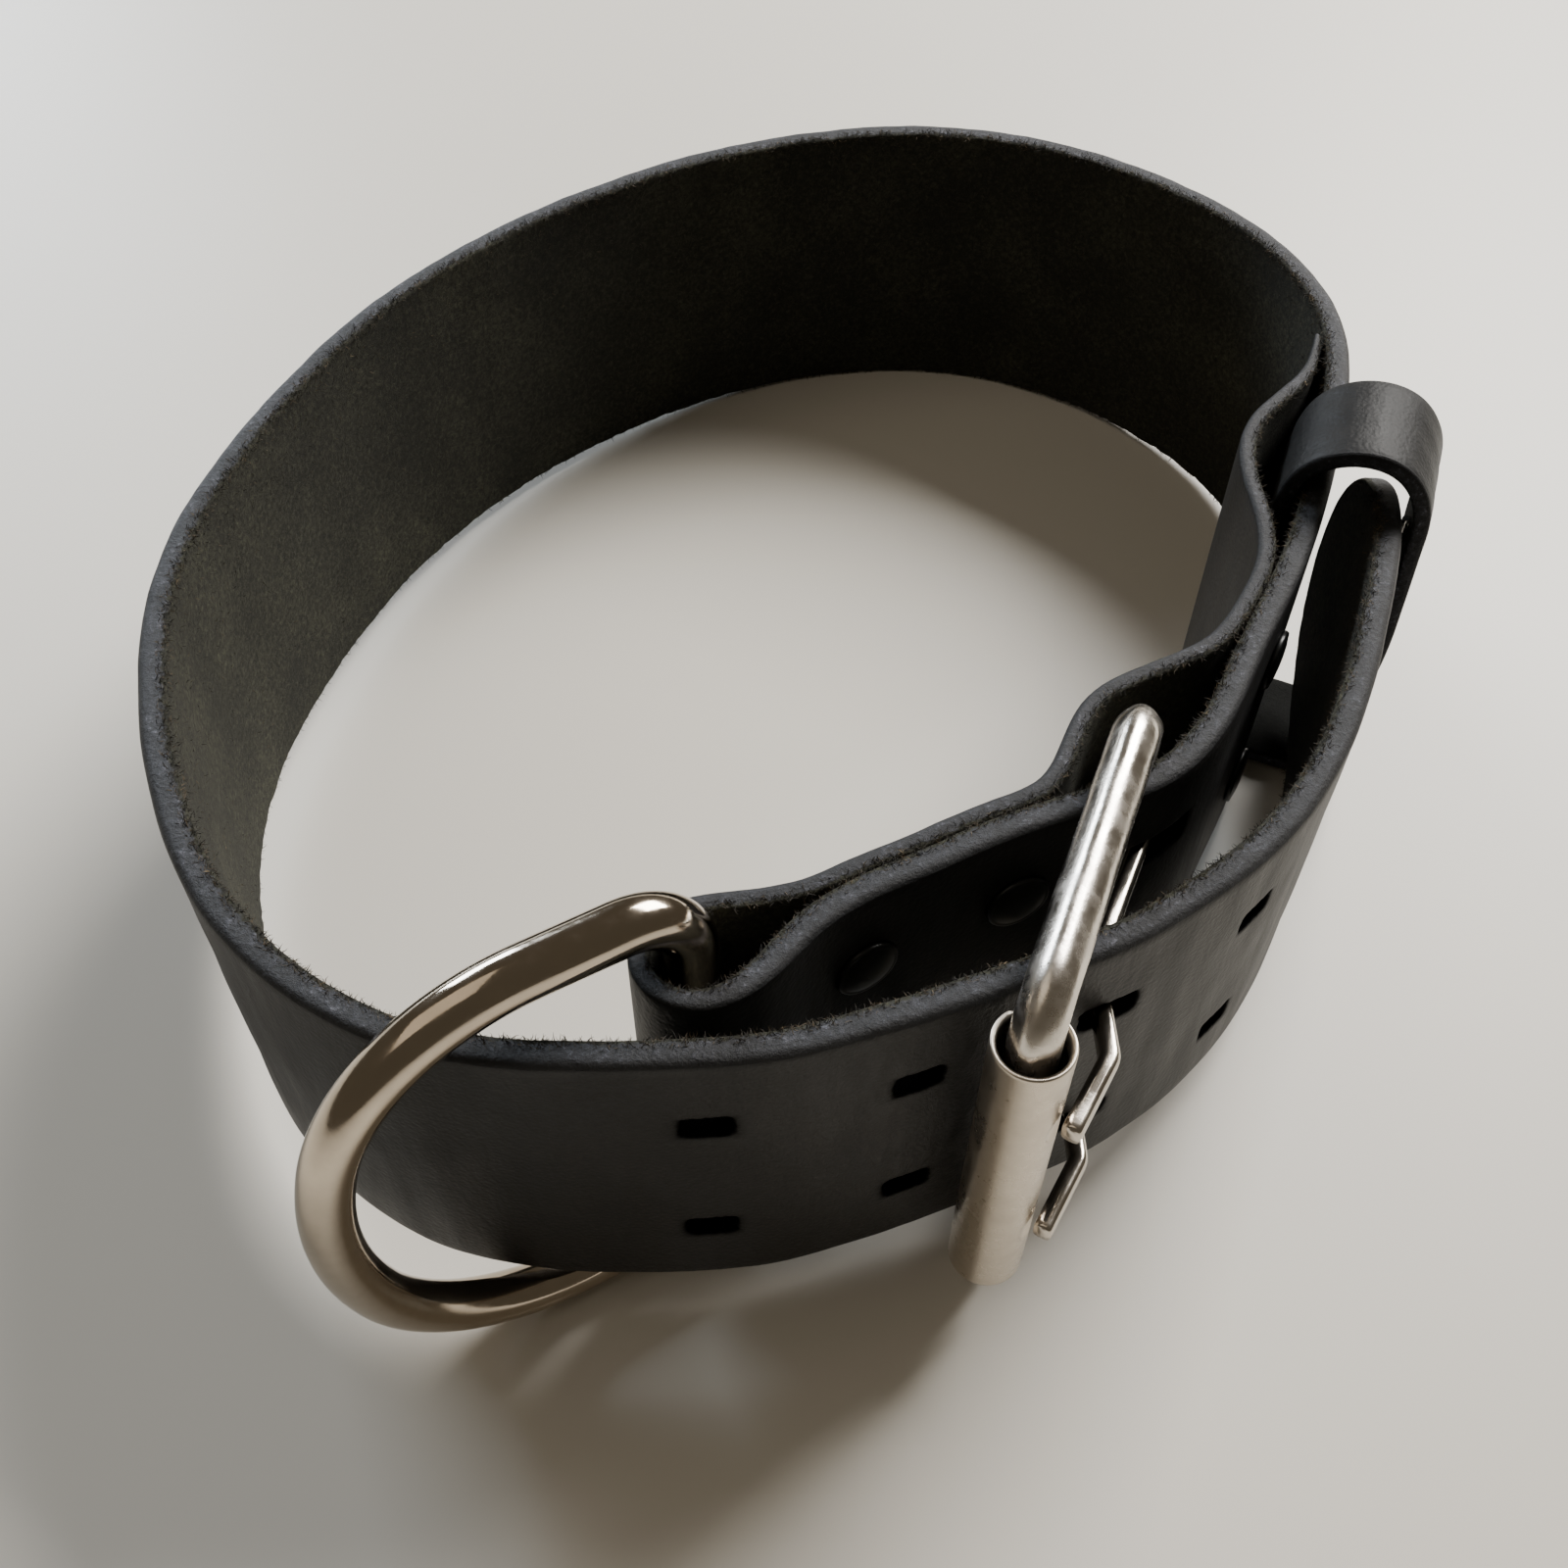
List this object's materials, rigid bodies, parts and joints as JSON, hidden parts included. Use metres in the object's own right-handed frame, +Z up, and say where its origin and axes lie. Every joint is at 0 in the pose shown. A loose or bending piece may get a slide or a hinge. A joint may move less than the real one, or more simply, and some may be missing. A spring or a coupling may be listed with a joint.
{
  "type": "buckled dog collar",
  "caption": "Wide black leather dog collar with a two-prong roller buckle, a D-ring held in a fold, a leather keeper and two rows of punched holes.",
  "frame": {"origin": "on the floor the collar rests on, under the middle of its overall width and depth", "axes": "+Z up out of the neck opening, -Y out of the front with the buckle and D-ring, +X towards the keeper"},
  "size_m": [0.1777, 0.2063, 0.0696],
  "materials": {
    "strap_leather": "smooth black grain outside, fuzzy grey-brown flesh side inside",
    "keeper_leather": "smooth black grain",
    "staple_wire": "plain wire",
    "ring_nickel": "polished nickel plate, lightly scratched",
    "buckle_nickel": "nickel plate, worn",
    "roller_nickel": "satin nickel plate",
    "rivet_black": "black enamel"
  },
  "bodies": {
    "strap": {"main_strap": "strap_leather", "rivet_ring_upper": "rivet_black", "rivet_ring_lower": "rivet_black", "rivet_buckle_upper": "rivet_black", "rivet_buckle_lower": "rivet_black", "rivet_keeper_upper": "rivet_black", "rivet_keeper_lower": "rivet_black", "rivet_back_ring_upper": "rivet_black", "rivet_back_ring_lower": "rivet_black", "rivet_back_buckle_upper": "rivet_black", "rivet_back_buckle_lower": "rivet_black", "rivet_back_keeper_upper": "rivet_black", "rivet_back_keeper_lower": "rivet_black"},
    "keeper": {"keeper_loop": "keeper_leather", "keeper_staple": "staple_wire"},
    "ring": {"d_ring": "ring_nickel"},
    "buckle": {"buckle_frame": "buckle_nickel"},
    "roller": {"buckle_roller": "roller_nickel"},
    "upper_prong": {"prong_upper": "buckle_nickel"},
    "lower_prong": {"prong_lower": "buckle_nickel"}
  },
  "joints": [
    {"name": "ring_swing", "type": "hinge", "parent": "strap", "child": "ring", "pos_m": [-0.01507, -0.07677, 0.03451], "axis": [-0.0213, 0.0843, 0.9962], "range_deg": [0, 105]},
    {"name": "buckle_swing", "type": "hinge", "parent": "strap", "child": "buckle", "pos_m": [0.03633, -0.04545, 0.03209], "axis": [0, 0.0483, 0.9988], "range_deg": [-1.5, 1]},
    {"name": "roller_spin", "type": "hinge", "parent": "buckle", "child": "roller", "pos_m": [0.02013, -0.0878, 0.03414], "axis": [0, 0.0483, 0.9988], "continuous": true},
    {"name": "upper_prong_swing", "type": "hinge", "parent": "buckle", "child": "upper_prong", "pos_m": [0.03633, -0.04487, 0.04408], "axis": [0, 0.0483, 0.9988], "range_deg": [0, 1]},
    {"name": "lower_prong_swing", "type": "hinge", "parent": "buckle", "child": "lower_prong", "pos_m": [0.03633, -0.04603, 0.02011], "axis": [0, 0.0483, 0.9988], "range_deg": [0, 1]},
    {"name": "keeper_slide", "type": "slide", "parent": "strap", "child": "keeper", "axis": [0.3338, 0.9415, -0.0456], "range_m": [-0.0005, 0.0005]}
  ]
}
